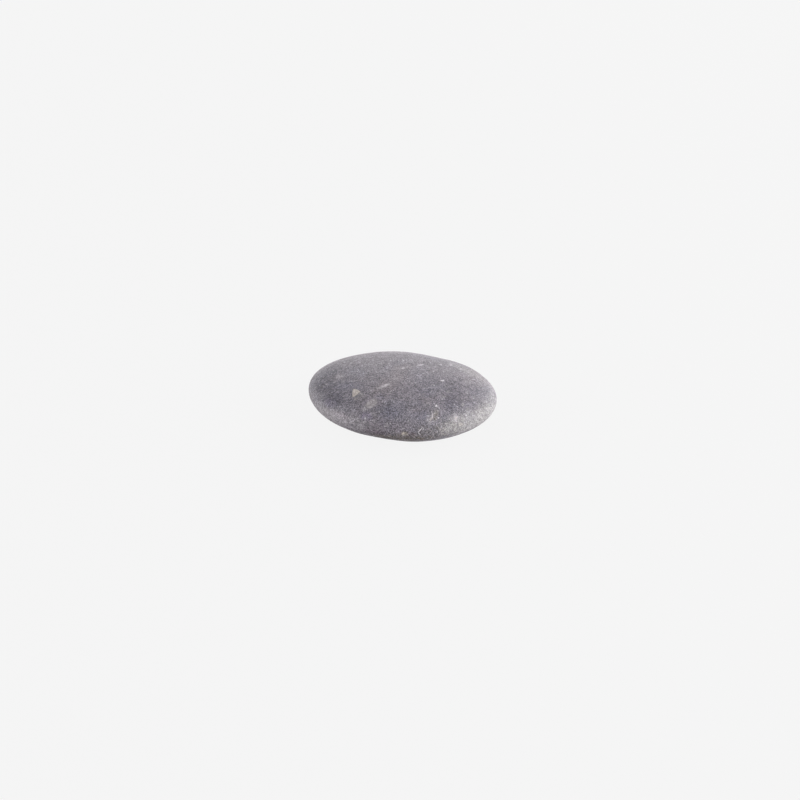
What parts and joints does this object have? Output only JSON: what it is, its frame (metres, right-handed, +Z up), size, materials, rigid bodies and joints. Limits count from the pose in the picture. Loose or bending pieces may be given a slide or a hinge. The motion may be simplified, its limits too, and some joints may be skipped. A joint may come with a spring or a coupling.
{
  "type": "river pebble",
  "caption": "Flat, oval, water-worn pebble of mauve-grey fine-grained stone with pale inclusions and a lighter battered rim, lying on its broad side.",
  "frame": {"origin": "middle of the stone's bounding box seen from above, on the level it rests on", "axes": "+X along the longest extent, +Y across the broad side, +Z up through the thickness"},
  "size_m": [0.074, 0.0614, 0.02],
  "materials": {
    "stone": "dry, water-worn, matt with a faint sheen"
  },
  "bodies": {
    "root": {"pebble": "stone"}
  },
  "joints": []
}
